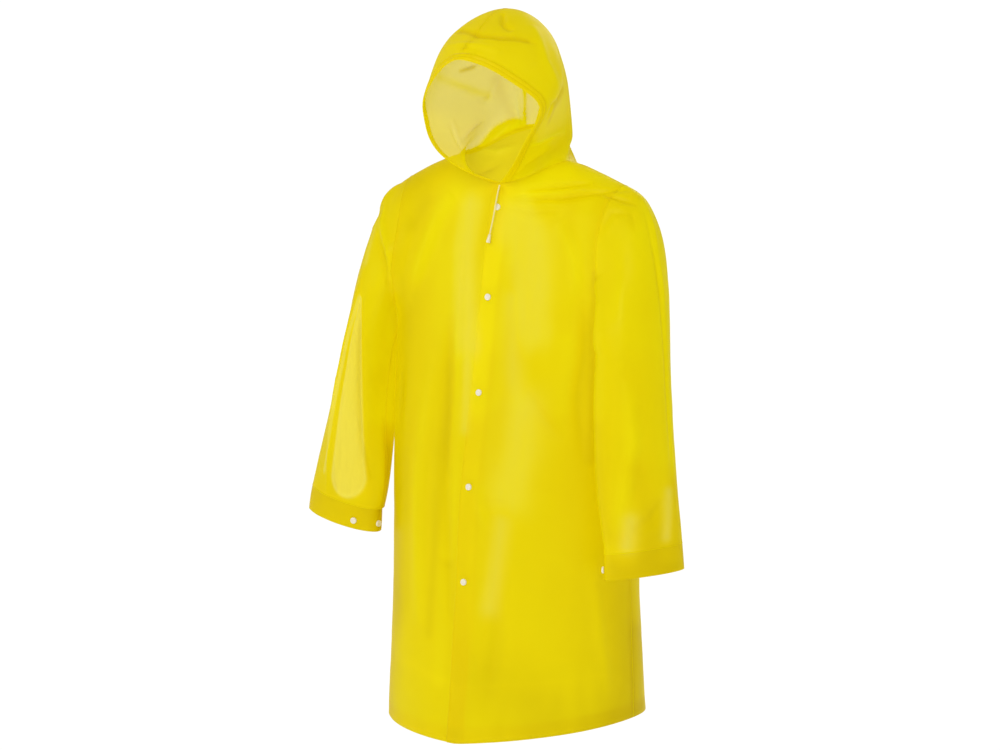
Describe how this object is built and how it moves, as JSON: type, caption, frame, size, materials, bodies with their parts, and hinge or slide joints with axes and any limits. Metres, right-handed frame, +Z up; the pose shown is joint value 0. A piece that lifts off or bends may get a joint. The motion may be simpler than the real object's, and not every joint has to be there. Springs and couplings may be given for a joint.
{
  "type": "hooded raincoat",
  "caption": "Long translucent film raincoat with a hood, snap front, wide sleeves with turned cuffs, and a drawstring at the throat, in its worn hollow shape.",
  "frame": {"origin": "base of the neck, midway between the shoulder seams, where the wearer holds the coat up", "axes": "+Z up, the front faces -Y, the wearer's left is +X"},
  "size_m": [0.8512, 0.378, 1.3813],
  "materials": {
    "film": "frosted, translucent, softly glossy",
    "snap_plastic": "satin, off-white",
    "cord": "matt braid"
  },
  "bodies": {
    "root": {"back": "film", "cuff_left": "film", "cuff_right": "film", "front_left": "film", "front_right": "film", "hood_casing": "film", "hood_left": "film", "hood_right": "film", "sleeve_left": "film", "sleeve_right": "film", "snap_1": "snap_plastic", "snap_2": "snap_plastic", "snap_3": "snap_plastic", "snap_4": "snap_plastic", "snap_5": "snap_plastic", "cuff_snap_left_1": "snap_plastic", "cuff_snap_left_2": "snap_plastic", "cuff_snap_right_1": "snap_plastic", "cuff_snap_right_2": "snap_plastic", "drawstring": "cord", "cord_end": "cord"}
  },
  "joints": []
}
